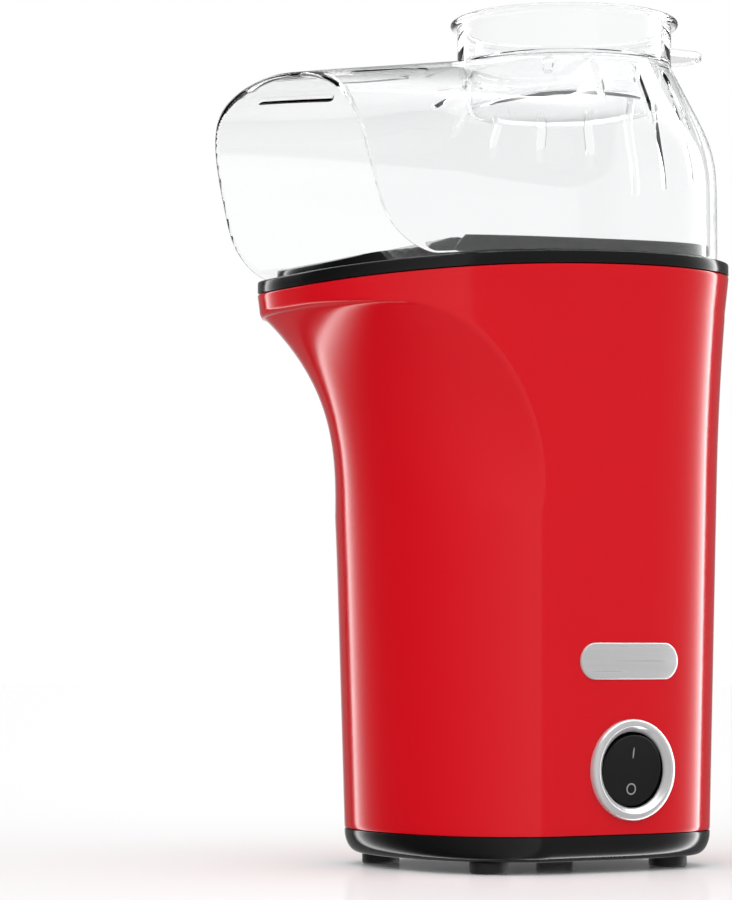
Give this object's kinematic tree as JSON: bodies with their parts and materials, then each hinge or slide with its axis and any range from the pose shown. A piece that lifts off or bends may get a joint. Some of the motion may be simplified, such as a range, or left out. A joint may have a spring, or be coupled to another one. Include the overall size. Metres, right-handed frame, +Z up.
{
  "type": "popcorn maker",
  "caption": "Hot-air popcorn maker: tall housing with fan, heater and popping chamber, clear hood with an open spout, lift-out measuring cup and round rocker switch.",
  "frame": {"origin": "on the surface that the feet stand on, at the centre of the whole object's bounding box", "axes": "+Z up; -Y is where the spout points; +X is the side with the rocker switch and badge"},
  "size_m": [0.116, 0.1736, 0.29],
  "materials": {
    "red_plastic": "high gloss moulded",
    "black_gloss": "gloss moulded",
    "foot_rubber": "matte rubber",
    "zinc_steel": "zinc plated",
    "clear_plastic": "clear polycarbonate",
    "clear_cup": "clear polycarbonate",
    "satin_chrome": "satin",
    "switch_black": "fine texture",
    "brass_contacts": "plain",
    "brushed_badge": "brushed",
    "chamber_aluminium": "spun",
    "duct_steel": "plain sheet",
    "mica": "mica sheet",
    "coil_wire": "heated wire",
    "ceramic": "glazed",
    "fan_black": "moulded",
    "fan_white": "moulded",
    "shaft_steel": "ground",
    "laminated_iron": "laminated",
    "copper": "enamelled",
    "can_steel": "plated",
    "ferrite": "ferrite",
    "cap_nylon": "moulded",
    "bronze": "sintered",
    "carbon": "pressed carbon",
    "board_green": "solder mask",
    "epoxy_black": "moulded",
    "capacitor_blue": "sleeved",
    "lead_brown": "insulated wire",
    "lead_red": "insulated wire",
    "lead_white": "silicone insulated wire"
  },
  "bodies": {
    "base": {"housing": "red_plastic", "base_cover": "black_gloss", "rubber_feet": "foot_rubber", "base_screws": "zinc_steel", "top_ring": "black_gloss", "switch_bezel": "satin_chrome", "switch_body": "switch_black", "switch_terminals": "brass_contacts", "badge": "brushed_badge", "cord_gland": "foot_rubber", "popping_chamber": "chamber_aluminium", "chamber_clamp": "zinc_steel", "chamber_screws": "zinc_steel", "heater_duct": "duct_steel", "mica_frame": "mica", "heater_coils": "coil_wire", "thermostat": "ceramic", "thermal_fuse": "ceramic", "fan_housing": "fan_black", "frame_screws": "zinc_steel", "motor_can": "can_steel", "motor_magnets": "ferrite", "motor_end_cap": "cap_nylon", "motor_bushings": "bronze", "motor_brushes": "carbon", "motor_screws": "zinc_steel", "rectifier_board": "board_green", "diodes": "epoxy_black", "filter_capacitor": "capacitor_blue", "supply_leads": "lead_brown", "motor_leads": "lead_red", "heater_leads": "lead_white", "ring_screws": "zinc_steel"},
    "hood": {"hood": "clear_plastic"},
    "cup": {"measuring_cup": "clear_cup"},
    "rocker": {"rocker_button": "switch_black"},
    "rotor": {"motor_shaft": "shaft_steel", "armature_core": "laminated_iron", "armature_windings": "copper", "commutator": "copper", "fan_impeller": "fan_white"}
  },
  "joints": [
    {"name": "hood_lift", "type": "slide", "parent": "base", "child": "hood", "axis": [0, 0, 1], "range_m": [0, 0.12]},
    {"name": "cup_lift", "type": "slide", "parent": "hood", "child": "cup", "axis": [0, 0, 1], "range_m": [0, 0.08]},
    {"name": "rocker_press", "type": "hinge", "parent": "base", "child": "rocker", "pos_m": [0.052, 0.01855, 0.0335], "axis": [0, -1, 0], "range_deg": [0, 14]},
    {"name": "fan_spin", "type": "hinge", "parent": "base", "child": "rotor", "pos_m": [0, 0.03025, 0.05], "axis": [0, 0, 1], "continuous": true}
  ]
}
